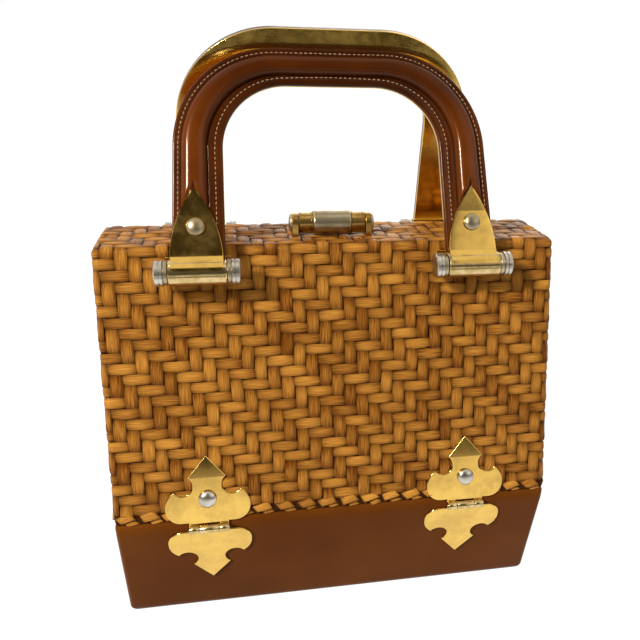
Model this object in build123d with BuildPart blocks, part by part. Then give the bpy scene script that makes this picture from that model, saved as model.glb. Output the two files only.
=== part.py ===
from build123d import *
import os
from math import acos, atan2, cos, degrees, hypot, radians, sin, tan

# A clamshell handbag. A leather-covered tray carries two wicker half-shells that swing
# outward on cut brass hinges, each half has a padded leather handle on a brass knuckle,
# and a turning roller on the top seam holds the halves shut.
# Millimetres, +Z up, X across the bag, front towards -Y, origin under the middle of the tray.

# Body
body_width = 236.0
top_depth = 46.0
hinge_line_depth = 98.0
base_bottom_depth = 64.0
base_height = 70.0
rim_band_height = 5.0
wicker_height = 141.5
seam_gap = 0.6
parting_gap = 0.3
overrun = 8.0

# Leather-covered tray and its lining
base_wall = 3.0
base_floor = 3.0
base_corner_radius = 4.0
base_lining_wall = 1.2
base_lining_drop = 1.0

# Woven wall of a half: core, raised floats, lining, plaited bottom edge
strand_ridge = 0.9
wicker_wall = 2.6
lining_wall = 1.6
wicker_corner_radius = 2.4
weave_columns = 26
weave_rows = 17
weave_over = 2
strand_gap = 1.0
weave_edge = 3.2
end_row_edge = 4.0
top_row_pitch = 5.6
braid_height = 6.4
braid_band = 0.4
braid_pitch = 8.0
braid_gap = 1.2
braid_slant = 4.0
braid_lip = 0.5

# Cut brass hinges between tray and halves
hinge_inset = 47.7
hinge_drop = 4.1
leaf_thickness = 1.3
upper_leaf_length = 40.0
lower_leaf_length = 42.5
leaf_half_width = 22.0
knuckle_radius = 2.25
knuckle_width = 20.6
knuckle_middle = 10.0
knuckle_gap = 0.25
knuckle_clearance = 0.4
hinge_pin_radius = 1.1
running_clearance = 0.06
hinge_rivet_height = 16.3
rivet_radius = 4.7
rivet_rise = 3.0

# Handle brackets on the wicker
handle_inset = 49.8
bracket_drop = 11.4
bracket_reach = 14.0
bracket_plate = 1.5
bracket_plate_height = 13.0
ear_thickness = 2.0
ear_radius = 5.6
ear_clearance = 0.3
handle_pin_radius = 2.5
pin_head_radius = 6.2
pin_head_length = 4.4

# Handles
handle_lean = radians(23.0)
handle_contact_gap = 0.3
handle_height = 108.4
back_handle_rise = 6.0
handle_bow_width = 18.0
leg_outer_width = 11.4
leg_inner_width = 13.3
handle_outer_splay = radians(2.7)
handle_inner_splay = radians(1.2)
handle_outer_radius = 50.0
handle_inner_radius = 32.0
handle_foot = 7.2
leather_back = 1.5
leather_front = 1.0
liner_thickness = 1.5
roll_outer_margin = 4.0
roll_leg_margin = 7.6
roll_bow_margin = 4.6
roll_height = 3.6
roll_bevel = 2.6
barrel_radius = 6.1
barrel_length = 27.0
plate_thickness = 1.2
plate_tip_height = 39.5
plate_half_width = 12.0
plate_bend_height = 27.0
plate_tip_rise = 3.2
plate_rivet_height = 21.5
plate_clearance = 0.1

# Roller clasp on the top seam
clasp_y = -6.2
clasp_rise = 6.8
clasp_roller_radius = 6.15
clasp_roller_length = 20.4
clasp_tube_radius = 5.2
clasp_tube_length = 7.1
clasp_post_width = 5.0
clasp_post_radius = 4.9
clasp_axle_radius = 2.0
clasp_side_clearance = 0.2
clasp_plate = 0.8
clasp_finger_width = 12.0
clasp_finger_reach = 14.0
clasp_finger_thickness = 2.0
clasp_tooth_length = 2.0
clasp_tooth_depth = 1.4
strike_front = 1.0
strike_near = 3.0
strike_lip = 1.2
strike_lip_height = 1.7
strike_length = 9.0
strike_width = 16.0

# Fleur outline of a hinge leaf, as shares of its half width and of its length
barb_shares = (0.455, 0.71)
notch_shares = (0.41, 0.505)
cusp_shares = (0.78, 0.525)
shoulder_shares = (0.945, 0.43)
widest_share = 0.30
belly_shares = (0.90, 0.145)
foot_shares = (0.62, 0.08)
# Flat crown of a rivet head, as a share of its radius
rivet_crown_share = 0.45
# Side of the pointed handle plate, as shares of its half width and of its height
plate_side_shares = (0.79, 0.58)

body_top = base_height + wicker_height
half_bottom = base_height + parting_gap
half_width = body_width / 2
hinge_x = half_width - hinge_inset
handle_x = half_width - handle_inset
wicker_slope = atan2((hinge_line_depth - top_depth) / 2, wicker_height)
base_slope = atan2((hinge_line_depth - base_bottom_depth) / 2, base_height - rim_band_height)
face_length = wicker_height / cos(wicker_slope)
liner_back = leather_back + liner_thickness


def front_y(z):
    """Y of the wicker's outer face at height z."""
    return -hinge_line_depth / 2 + (z - base_height) * tan(wicker_slope)


def wicker_face(x, up, out):
    """Plane on the front wicker face: local X across, local Y up the face, local Z outward."""
    y = -hinge_line_depth / 2 + up * sin(wicker_slope) - out * cos(wicker_slope)
    z = base_height + up * cos(wicker_slope) + out * sin(wicker_slope)
    return Plane(origin=(x, y, z), x_dir=(1, 0, 0), z_dir=(0, -cos(wicker_slope), sin(wicker_slope)))


def base_face(x, down, out):
    """Plane on the tray's sloping front: local Y runs down the slope, local Z outward."""
    y = -hinge_line_depth / 2 + down * sin(base_slope) - out * cos(base_slope)
    z = base_height - rim_band_height - down * cos(base_slope) - out * sin(base_slope)
    return Plane(origin=(x, y, z), x_dir=(-1, 0, 0), z_dir=(0, -cos(base_slope), -sin(base_slope)))


def cross_plane(x, y, z):
    """Plane square to X: local X points back (+Y) and local Y up."""
    return Plane(origin=(x, y, z), x_dir=(0, 1, 0), z_dir=(1, 0, 0))


# Axis of the tray hinges and of the front handle
hinge_axis = wicker_face(0, -hinge_drop, knuckle_radius).origin
front_axis = wicker_face(0, face_length - bracket_drop, bracket_reach).origin


def base_profile(inset, floor, top):
    """Corners of the tray's section, moved in by inset and up to a floor."""
    shoulder = base_height - rim_band_height
    wide = hinge_line_depth / 2 - inset
    low = hinge_line_depth / 2 - inset / cos(base_slope) - (shoulder - floor) * tan(base_slope)
    return [(-low, floor), (low, floor), (wide, shoulder), (wide, top), (-wide, top), (-wide, shoulder)]


with BuildPart() as base_tray:
    with BuildSketch(Plane.YZ):
        with BuildLine():
            Polyline(*base_profile(0, 0, base_height), close=True)
        make_face()
    extrude(amount=half_width, both=True)
    with BuildSketch(Plane.XZ):
        with Locations((0, base_height)):
            Rectangle(body_width, 2 * base_height)
        fillet(vertices().group_by(Axis.Y)[0], radius=base_corner_radius)
    extrude(amount=hinge_line_depth, both=True, mode=Mode.INTERSECT)
    with BuildSketch(Plane.YZ):
        with BuildLine():
            Polyline(*base_profile(base_wall, base_floor, base_height + overrun), close=True)
        make_face()
    extrude(amount=half_width - base_wall, both=True, mode=Mode.SUBTRACT)

with BuildPart() as base_lining:
    lining_top = base_height - base_lining_drop
    with BuildSketch(Plane.YZ):
        with BuildLine():
            Polyline(*base_profile(base_wall, base_floor, lining_top), close=True)
        make_face()
    extrude(amount=half_width - base_wall, both=True)
    with BuildSketch(Plane.YZ):
        with BuildLine():
            Polyline(
                *base_profile(
                    base_wall + base_lining_wall, base_floor + base_lining_wall, base_height + overrun
                ),
                close=True,
            )
        make_face()
    extrude(amount=half_width - base_wall - base_lining_wall, both=True, mode=Mode.SUBTRACT)


def half_profile(inset, bottom, top, seam):
    """Corners of the front half's section, moved in by inset from its outer faces."""
    shift = inset / cos(wicker_slope)
    return [(front_y(bottom) + shift, bottom), (front_y(top) + shift, top), (seam, top), (seam, bottom)]


def half_block(inset, bottom, top, seam, mode=Mode.ADD):
    """Prism of the half's section across the bag, as wide as the inset leaves."""
    with BuildSketch(Plane.YZ) as section:
        with BuildLine():
            Polyline(*half_profile(inset, bottom, top, seam), close=True)
        make_face()
    extrude(section.sketch, amount=half_width - inset, both=True, mode=mode)


def float_places(span):
    """Middles of the floats that show over a given number of columns, on the front face."""
    repeat = 2 * weave_over
    places = []
    for row in range(weave_rows):
        for start in range(-row % repeat - repeat, weave_columns, repeat):
            first = max(start, 0)
            last = min(start + weave_over, weave_columns)
            if last - first == span:
                middle = (first + last - weave_columns) / 2 * column_pitch
                places.append((middle, weave_bottom + (row + 1 / 2) * row_pitch))
    return places


weave_bottom = braid_height + strand_gap
column_pitch = (body_width - 2 * weave_edge) / weave_columns
row_pitch = (face_length - weave_edge - weave_bottom) / weave_rows
top_rows = int((top_depth / 2 - weave_edge) / top_row_pitch)

with BuildPart() as front_wicker:
    half_block(strand_ridge, half_bottom, body_top - strand_ridge, -seam_gap / 2)
    outer_edges = [
        edge
        for edge in front_wicker.edges()
        if edge.center().Z > half_bottom + wicker_wall and edge.center().Y < -seam_gap
    ]
    fillet(outer_edges, radius=wicker_corner_radius)
    half_block(wicker_wall, half_bottom - overrun, body_top - wicker_wall, overrun, Mode.SUBTRACT)
    # Twill floats on the front, stepping down to the right, cut short at the sides
    with BuildSketch(wicker_face(0, 0, -strand_ridge)):
        for span in range(1, weave_over + 1):
            with Locations(*float_places(span)):
                Rectangle(span * column_pitch - strand_gap, row_pitch - strand_gap)
    extrude(amount=strand_ridge, clean=False)
    # Strand rows along the top
    with BuildSketch(Plane.XY.offset(body_top - strand_ridge)):
        with Locations((0, -(top_depth / 2 - weave_edge + seam_gap) / 2)):
            with GridLocations(top_row_pitch, top_row_pitch, 1, top_rows):
                Rectangle(body_width - 2 * weave_edge, top_row_pitch - strand_gap)
    extrude(amount=strand_ridge, clean=False)
    # Strand rows round the two ends
    for end in (-1, 1):
        with BuildSketch(Plane.YZ.offset(end * (half_width - strand_ridge))):
            for row in range(weave_rows):
                up = weave_bottom + (row + 1 / 2) * row_pitch
                z = base_height + up * cos(wicker_slope)
                row_start = front_y(z) + end_row_edge
                row_length = -end_row_edge / 2 - row_start
                with Locations((row_start + row_length / 2, z)):
                    Rectangle(row_length, row_pitch - strand_gap)
        extrude(amount=end * strand_ridge, clean=False)

with BuildPart() as front_lining:
    half_block(wicker_wall, half_bottom, body_top - wicker_wall, -seam_gap / 2)
    half_block(
        wicker_wall + lining_wall,
        half_bottom - overrun,
        body_top - wicker_wall - lining_wall,
        overrun,
        Mode.SUBTRACT,
    )

with BuildPart() as front_edge_braid:
    braid_top = half_bottom + braid_height * cos(wicker_slope)
    half_block(strand_ridge - braid_band, half_bottom, braid_top, -seam_gap / 2)
    half_block(strand_ridge, half_bottom - overrun, braid_top + overrun, overrun, Mode.SUBTRACT)
    # Slanting strands of the plait along the front and round the ends
    strand_width = braid_pitch - braid_gap
    strand_low = parting_gap + braid_lip
    strand_high = braid_height - braid_lip
    strand = [
        (-(strand_width + braid_slant) / 2, strand_low),
        ((strand_width - braid_slant) / 2, strand_low),
        ((strand_width + braid_slant) / 2, strand_high),
        (-(strand_width - braid_slant) / 2, strand_high),
    ]
    front_strands = int((body_width - 2 * weave_edge - braid_slant) / braid_pitch)
    with BuildSketch(wicker_face(0, 0, -strand_ridge)):
        with GridLocations(braid_pitch, braid_pitch, front_strands, 1):
            Polygon(*strand, align=None)
    extrude(amount=strand_ridge, clean=False)
    end_span = hinge_line_depth / 2 - 2 * end_row_edge
    end_strands = int((end_span - braid_slant) / braid_pitch)
    for end in (-1, 1):
        with BuildSketch(Plane.YZ.offset(end * (half_width - strand_ridge))):
            with Locations((-hinge_line_depth / 4, base_height)):
                with GridLocations(braid_pitch, braid_pitch, end_strands, 1):
                    Polygon(*strand, align=None)
        extrude(amount=end * strand_ridge, clean=False)


def leaf_outline(length):
    """Fleur outline over the knuckle line: barbed tip, round notches and two wide lobes."""
    right = [(x * leaf_half_width, y * length) for x, y in (barb_shares, notch_shares, cusp_shares)]
    shoulder = (shoulder_shares[0] * leaf_half_width, shoulder_shares[1] * length)
    widest = (leaf_half_width, widest_share * length)
    belly = (belly_shares[0] * leaf_half_width, belly_shares[1] * length)
    foot = (foot_shares[0] * leaf_half_width, foot_shares[1] * length)
    with BuildLine() as outline:
        Line((0, length), right[0])
        ThreePointArc(*right)
        ThreePointArc(right[2], shoulder, widest)
        ThreePointArc(widest, belly, foot)
        Line(foot, (0, foot[1]))
        mirror(about=Plane.YZ)
    make_face(outline.edges())


def knuckle_spans(middle):
    """Ranges across the leaf that its own rolled knuckles take."""
    inner = knuckle_middle / 2
    outer = knuckle_width / 2
    if middle:
        return [(-inner, inner)]
    return [(-outer, -inner - knuckle_gap), (inner + knuckle_gap, outer)]


def hinge_leaf(plane, length, middle):
    """A leaf on its plane, whose origin lies under the knuckle axis, with its rolled knuckles."""
    foot = foot_shares[1] * length
    with BuildPart() as leaf:
        with BuildSketch(plane):
            leaf_outline(length)
            for start, end in knuckle_spans(middle):
                with Locations(((start + end) / 2, (foot + leaf_thickness) / 2)):
                    Rectangle(end - start, foot + leaf_thickness)
        extrude(amount=leaf_thickness)
        axis = hinge_axis + Vector(plane.origin.X, 0, 0)
        for start, end in knuckle_spans(middle):
            with BuildSketch(Plane(axis + plane.x_dir * start, x_dir=plane.y_dir, z_dir=plane.x_dir)):
                Circle(knuckle_radius)
            extrude(amount=end - start)
        # Room for the other leaf's knuckles
        for start, end in knuckle_spans(not middle):
            with BuildSketch(Plane(axis + plane.x_dir * start, x_dir=plane.y_dir, z_dir=plane.x_dir)):
                Circle(knuckle_radius + knuckle_clearance)
            extrude(amount=end - start, mode=Mode.SUBTRACT)
        # The pin is fixed in the middle knuckle and turns in the outer two
        pin_start = axis - plane.x_dir * (knuckle_width / 2)
        with BuildSketch(Plane(pin_start, x_dir=plane.y_dir, z_dir=plane.x_dir)):
            Circle(hinge_pin_radius if middle else hinge_pin_radius + running_clearance)
        extrude(amount=knuckle_width, mode=Mode.ADD if middle else Mode.SUBTRACT)
    return leaf


rivet_align = (Align.CENTER, Align.CENTER, Align.MIN)
pieces = {
    "base_tray": base_tray.part,
    "base_lining": base_lining.part,
    "front_wicker": front_wicker.part,
    "front_lining": front_lining.part,
    "front_edge_braid": front_edge_braid.part,
}

# Hinges and handle brackets of the front half, one set on each side
ear_x = barrel_length / 2 + ear_clearance
slope_drop = -(hinge_axis - base_face(0, 0, 0).origin).dot(base_face(0, 0, 0).y_dir)
for side, x in (("left", -1), ("right", 1)):
    with BuildPart() as upper_leaf:
        add(hinge_leaf(wicker_face(x * hinge_x, -hinge_drop, 0), upper_leaf_length, False).part)
        with Locations(wicker_face(x * hinge_x, hinge_rivet_height - hinge_drop, leaf_thickness)):
            Cone(rivet_radius, rivet_crown_share * rivet_radius, rivet_rise, align=rivet_align)
    lower_leaf = hinge_leaf(base_face(x * hinge_x, -slope_drop, 0), lower_leaf_length, True)

    with BuildPart() as bracket:
        with BuildSketch(wicker_face(x * handle_x, face_length - bracket_drop, 0)):
            Rectangle(2 * (ear_x + ear_thickness), bracket_plate_height)
        extrude(amount=bracket_plate)
        ear_out = wicker_face(0, 0, 0).z_dir
        for start in (-ear_x - ear_thickness, ear_x):
            ear_origin = front_axis + Vector(x * handle_x + start, 0, 0)
            with BuildSketch(Plane(ear_origin, x_dir=ear_out, z_dir=(1, 0, 0))):
                Circle(ear_radius)
                with Locations((-bracket_reach / 2, 0)):
                    Rectangle(bracket_reach, 2 * ear_radius)
            extrude(amount=ear_thickness)
        # The pin, with a broad round head outside each ear
        with Locations(front_axis + Vector(x * handle_x, 0, 0)):
            Cylinder(handle_pin_radius, 2 * ear_x, rotation=(0, 90, 0))
            for end in (-1, 1):
                with Locations((end * (ear_x + ear_thickness + pin_head_length / 2), 0, 0)):
                    Cylinder(pin_head_radius, pin_head_length, rotation=(0, 90, 0))

    pieces[f"front_{side}_hinge_upper_leaf"] = upper_leaf.part
    pieces[f"front_{side}_hinge_lower_leaf"] = lower_leaf.part
    pieces[f"front_{side}_handle_bracket"] = bracket.part

# The back half is the front half's mirror image, with hinges and brackets alike
for name in list(pieces):
    if name.startswith("front_"):
        pieces[name.replace("front_", "back_")] = mirror(pieces[name], about=Plane.XZ)

# Handles: the front one leans in over the bag and the taller back one rests against its top
front_up = Vector(0, sin(handle_lean), cos(handle_lean))
front_out = Vector(0, -cos(handle_lean), sin(handle_lean))
back_axis = Vector(0, -front_axis.Y, front_axis.Z)
touch = front_axis + front_up * handle_height - front_out * liner_back - back_axis
reach = hypot(touch.Y, touch.Z)
back_lean = atan2(touch.Z, touch.Y) - acos(-(liner_back + handle_contact_gap) / reach)


def handle_outline(height, outer_margin=0, leg_margin=0, bow_margin=0):
    """Flat outline of a handle, or of the roll inside its margins: splayed legs and a level bow."""
    outer_foot = handle_x + leg_outer_width - outer_margin
    inner_foot = handle_x - leg_inner_width + leg_margin
    bow_top = height - outer_margin
    bow_underside = height - handle_bow_width + bow_margin
    outer_lean = (bow_top - handle_foot) * tan(handle_outer_splay)
    inner_lean = (bow_underside - handle_foot) * tan(handle_inner_splay)
    outer = [(outer_foot, handle_foot), (outer_foot - outer_lean, bow_top)]
    inner = [(inner_foot, handle_foot), (inner_foot - inner_lean, bow_underside)]
    outer_radius = handle_outer_radius - outer_margin
    inner_radius = handle_inner_radius + bow_margin
    with BuildLine() as outline:
        FilletPolyline(*outer, *[(-x, y) for x, y in reversed(outer)], radius=outer_radius)
        FilletPolyline(*inner, *[(-x, y) for x, y in reversed(inner)], radius=inner_radius)
        Line(outer[0], inner[0])
        Line((-outer[0][0], handle_foot), (-inner[0][0], handle_foot))
    make_face(outline.edges())


def plate_outline(clearance):
    """Pointed arch of the brass plate at the foot of a leg, grown by a clearance."""
    wide = plate_half_width + clearance
    tall = plate_tip_height + clearance
    with BuildLine() as outline:
        ThreePointArc((wide, 0), (plate_side_shares[0] * wide, plate_side_shares[1] * tall), (0, tall))
        mirror(about=Plane.YZ)
        Line((-wide, 0), (wide, 0))
    make_face(outline.edges())


def plate_section(under, over):
    """Section of the bent plate: flat beside the rivet, its tip rising onto the padded roll."""
    low = leather_front + under
    high = leather_front + over
    bend = plate_bend_height
    return [
        (0, low),
        (bend, low),
        (plate_tip_height + overrun, low + plate_tip_rise),
        (plate_tip_height + overrun, high + plate_tip_rise),
        (bend, high),
        (0, high),
    ]


def handle_set(plane, height):
    """Leather, brass liner and two riveted knuckle plates of one handle on its own plane."""
    leg_x = (handle_x, -handle_x)
    with BuildPart() as leather:
        with BuildSketch(plane.offset(-leather_back)):
            handle_outline(height)
        extrude(amount=leather_back + leather_front)
        with BuildSketch(plane.offset(leather_front)):
            handle_outline(height, roll_outer_margin, roll_leg_margin, roll_bow_margin)
        roll = extrude(amount=roll_height, mode=Mode.PRIVATE)
        roll_top = roll.faces().sort_by(Axis(plane.origin, plane.z_dir))[-1]
        add(roll.chamfer(roll_bevel, None, roll_top.edges()))
        # The padding is pressed flat under the plates
        for x in leg_x:
            leg = plane.from_local_coords((x, 0, 0))
            with BuildSketch(Plane(leg, x_dir=plane.x_dir, z_dir=plane.z_dir)):
                plate_outline(plate_clearance)
            arch = extrude(amount=barrel_radius + overrun, mode=Mode.PRIVATE)
            with BuildSketch(Plane(leg, x_dir=plane.y_dir, z_dir=plane.x_dir)):
                with BuildLine():
                    Polyline(*plate_section(0, roll_height + overrun), close=True)
                make_face()
            slab = extrude(amount=plate_half_width + overrun, both=True, mode=Mode.PRIVATE)
            add(arch.intersect(slab), mode=Mode.SUBTRACT)

    with BuildPart() as liner:
        with BuildSketch(plane.offset(-liner_back)):
            handle_outline(height)
        extrude(amount=liner_thickness)

    plates = []
    for x in leg_x:
        leg = plane.from_local_coords((x, 0, 0))
        rivet_foot = plane.from_local_coords((x, plate_rivet_height, leather_front + plate_thickness))
        with BuildPart() as plate:
            with BuildSketch(Plane(leg, x_dir=plane.x_dir, z_dir=plane.z_dir)):
                plate_outline(0)
            extrude(amount=barrel_radius + overrun)
            with BuildSketch(Plane(leg, x_dir=plane.y_dir, z_dir=plane.x_dir)):
                with BuildLine():
                    Polyline(*plate_section(0, plate_thickness), close=True)
                make_face()
            extrude(amount=plate_half_width + overrun, both=True, mode=Mode.INTERSECT)
            with BuildSketch(Plane(leg, x_dir=plane.y_dir, z_dir=plane.x_dir)):
                Circle(barrel_radius)
            extrude(amount=barrel_length / 2, both=True)
            with BuildSketch(Plane(leg, x_dir=plane.y_dir, z_dir=plane.x_dir)):
                Circle(handle_pin_radius + running_clearance)
            extrude(amount=barrel_length, both=True, mode=Mode.SUBTRACT)
            with Locations(Plane(rivet_foot, x_dir=plane.x_dir, z_dir=plane.z_dir)):
                Cone(rivet_radius, rivet_crown_share * rivet_radius, rivet_rise, align=rivet_align)
        plates.append(plate.part)
    return leather.part, liner.part, plates


front_handle_plane = Plane(front_axis, x_dir=(1, 0, 0), z_dir=front_out)
back_handle_plane = Plane(back_axis, x_dir=(-1, 0, 0), z_dir=(0, cos(back_lean), sin(back_lean)))
for half, plane, rise, sides in (
    ("front", front_handle_plane, 0, ("right", "left")),
    ("back", back_handle_plane, back_handle_rise, ("left", "right")),
):
    leather, liner, plates = handle_set(plane, handle_height + rise)
    pieces[f"{half}_handle_leather"] = leather
    pieces[f"{half}_handle_liner"] = liner
    for side, plate in zip(sides, plates):
        pieces[f"{half}_{side}_handle_plate"] = plate

# Roller clasp: bracket with its axle on the front half, turning roller, strike on the back half
clasp_z = body_top + clasp_rise
roller_half = clasp_roller_length / 2
clasp_half = roller_half + clasp_tube_length
post_start = clasp_half + clasp_side_clearance

with BuildPart() as clasp_bracket:
    plate_half = post_start + clasp_post_width
    with BuildSketch(Plane.XY.offset(body_top)):
        with Locations((0, clasp_y)):
            Rectangle(2 * plate_half, 2 * clasp_post_radius)
    extrude(amount=clasp_plate)
    for start in (-plate_half, post_start):
        with BuildSketch(cross_plane(start, clasp_y, clasp_z)):
            Circle(clasp_post_radius)
            with Locations((0, -clasp_rise / 2)):
                Rectangle(2 * clasp_post_radius, clasp_rise)
        extrude(amount=clasp_post_width)
    with BuildSketch(cross_plane(-post_start, clasp_y, clasp_z)):
        Circle(clasp_roller_radius + knuckle_clearance)
    extrude(amount=2 * post_start, mode=Mode.SUBTRACT)
    with Locations((0, clasp_y, clasp_z)):
        Cylinder(clasp_axle_radius, 2 * post_start, rotation=(0, 90, 0))

with BuildPart() as clasp_roller:
    with BuildSketch(cross_plane(-clasp_half, clasp_y, clasp_z)):
        Circle(clasp_tube_radius)
    extrude(amount=2 * clasp_half)
    with BuildSketch(cross_plane(-roller_half, clasp_y, clasp_z)):
        Circle(clasp_roller_radius)
    extrude(amount=clasp_roller_length)
    # Latch finger behind the roller, with a tooth that drops behind the strike's lip
    with BuildSketch(cross_plane(-clasp_finger_width / 2, clasp_y, clasp_z)):
        with Locations((clasp_finger_reach / 2, 0)):
            Rectangle(clasp_finger_reach, clasp_finger_thickness)
        with Locations((clasp_finger_reach - clasp_tooth_length / 2, -clasp_tooth_depth / 2)):
            Rectangle(clasp_tooth_length, clasp_finger_thickness + clasp_tooth_depth)
    extrude(amount=clasp_finger_width)
    with BuildSketch(cross_plane(-clasp_half, clasp_y, clasp_z)):
        Circle(clasp_axle_radius + running_clearance)
    extrude(amount=2 * clasp_half, mode=Mode.SUBTRACT)

with BuildPart() as clasp_strike:
    with BuildSketch(Plane.XY.offset(body_top)):
        with Locations((0, strike_front)):
            Rectangle(strike_width, strike_length, align=(Align.CENTER, Align.MIN))
    extrude(amount=clasp_plate)
    with BuildSketch(cross_plane(-strike_width / 2, strike_near, body_top)):
        Rectangle(strike_lip, clasp_plate + strike_lip_height, align=(Align.MIN, Align.MIN))
    extrude(amount=strike_width)

pieces["clasp_bracket"] = clasp_bracket.part
pieces["clasp_roller"] = clasp_roller.part
pieces["clasp_strike"] = clasp_strike.part

os.makedirs("parts", exist_ok=True)
for name, piece in pieces.items():
    piece.label = name
    export_step(piece, f"parts/{name}.step")
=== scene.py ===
import math

import bmesh
import bpy
import numpy as np
from mathutils import Matrix


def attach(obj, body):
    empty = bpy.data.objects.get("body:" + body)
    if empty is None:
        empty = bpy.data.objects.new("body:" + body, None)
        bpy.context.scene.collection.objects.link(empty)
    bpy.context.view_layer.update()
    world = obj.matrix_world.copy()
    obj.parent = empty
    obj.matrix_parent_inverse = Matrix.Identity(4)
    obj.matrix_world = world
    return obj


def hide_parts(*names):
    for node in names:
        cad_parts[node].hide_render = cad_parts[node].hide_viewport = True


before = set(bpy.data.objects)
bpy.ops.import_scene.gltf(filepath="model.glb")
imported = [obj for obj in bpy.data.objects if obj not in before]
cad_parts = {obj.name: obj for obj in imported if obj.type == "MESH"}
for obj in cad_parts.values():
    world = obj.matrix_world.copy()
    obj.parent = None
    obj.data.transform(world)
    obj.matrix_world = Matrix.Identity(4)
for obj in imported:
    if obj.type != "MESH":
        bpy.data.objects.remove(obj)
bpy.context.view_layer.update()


# Tray
# The stiff tray under the bag: a board box with sloping front and back, covered in smooth
# semi-gloss caramel leather that is turned over the rim and glued down inside.

body_width = 236.0
base_height = 70.0
rim_band_height = 5.0
hinge_line_depth = 98.0
base_bottom_depth = 64.0
half_width = body_width / 2
base_slope = math.atan2((hinge_line_depth - base_bottom_depth) / 2, base_height - rim_band_height)


class Tone:
    """One output of a shader node. Arithmetic on it adds Math nodes to its tree."""

    def __init__(self, socket):
        self.socket = socket
        self.tree = socket.id_data

    def plug(self, socket, value):
        """Links a value into a socket, or sets a plain one on it."""
        if isinstance(value, Tone):
            self.tree.links.new(value.socket, socket)
        else:
            socket.default_value = value

    def node(self, kind, output, settings, sockets):
        """Adds a node, makes its settings, fills its sockets and gives back one output."""
        made = self.tree.nodes.new(kind)
        for name, value in settings.items():
            setattr(made, name, value)
        for name, value in sockets.items():
            self.plug(made.inputs[name], value)
        return Tone(made.outputs[output])

    def maths(self, operation, first, second):
        return self.node("ShaderNodeMath", 0, {"operation": operation}, {0: first, 1: second})

    def __add__(self, other):
        return self.maths("ADD", self, other)

    def __radd__(self, other):
        return self.maths("ADD", other, self)

    def __sub__(self, other):
        return self.maths("SUBTRACT", self, other)

    def __rsub__(self, other):
        return self.maths("SUBTRACT", other, self)

    def __mul__(self, other):
        return self.maths("MULTIPLY", self, other)

    def __rmul__(self, other):
        return self.maths("MULTIPLY", other, self)

    def ramp(self, low, high):
        """0 below low, 1 above high and smooth between them."""
        settings = {"interpolation_type": "SMOOTHSTEP"}
        return self.node("ShaderNodeMapRange", 0, settings, {0: self, 1: low, 2: high})

    def mix(self, first, second):
        """Colour that goes from first to second as this value goes from 0 to 1."""
        settings = {"data_type": "RGBA", "clamp_factor": True}
        colours = [c if isinstance(c, Tone) else (*c, 1.0) for c in (first, second)]
        return self.node("ShaderNodeMix", 2, settings, {0: self, 6: colours[0], 7: colours[1]})

    def noise(self, scale, detail):
        """Cloud noise over these coordinates."""
        return self.node("ShaderNodeTexNoise", 0, {}, {"Vector": self, "Scale": scale, "Detail": detail})

    def stretch(self, x, y, z):
        """These coordinates scaled along each axis."""
        return self.node("ShaderNodeMapping", 0, {}, {"Vector": self, "Scale": (x, y, z)})

    def bump(self, strength, distance):
        """Surface normal that this height gives."""
        sockets = {"Height": self, "Strength": strength, "Distance": distance}
        return self.node("ShaderNodeBump", 0, {}, sockets)


class Finish:
    """A material with one Principled shader, and the coordinates its pattern is drawn in."""

    def __init__(self, name, **plain):
        self.material = bpy.data.materials.new(name)
        self.material.use_nodes = True
        self.shader = self.material.node_tree.nodes["Principled BSDF"]
        self.start = Tone(self.shader.outputs[0])
        self.place = self.start.node("ShaderNodeTexCoord", "Object", {}, {})
        for socket, value in plain.items():
            self.set(socket.replace("_", " "), value)

    def set(self, socket, value):
        if isinstance(value, tuple) and len(value) == 3:
            value = (*value, 1.0)
        self.start.plug(self.shader.inputs[socket], value)

    def value(self, name):
        """A value that the mesh carries on its points."""
        return self.start.node("ShaderNodeAttribute", "Fac", {"attribute_name": name}, {})

    def grain(self):
        """Coordinates along and across the strand, from the mesh's own map."""
        return self.start.node("ShaderNodeUVMap", 0, {"uv_map": "grain"}, {})


def added(name, data):
    """A new object at the origin of the scene, for a mesh, a lamp or a camera."""
    piece = bpy.data.objects.new(name, data)
    bpy.context.scene.collection.objects.link(piece)
    return piece


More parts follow.
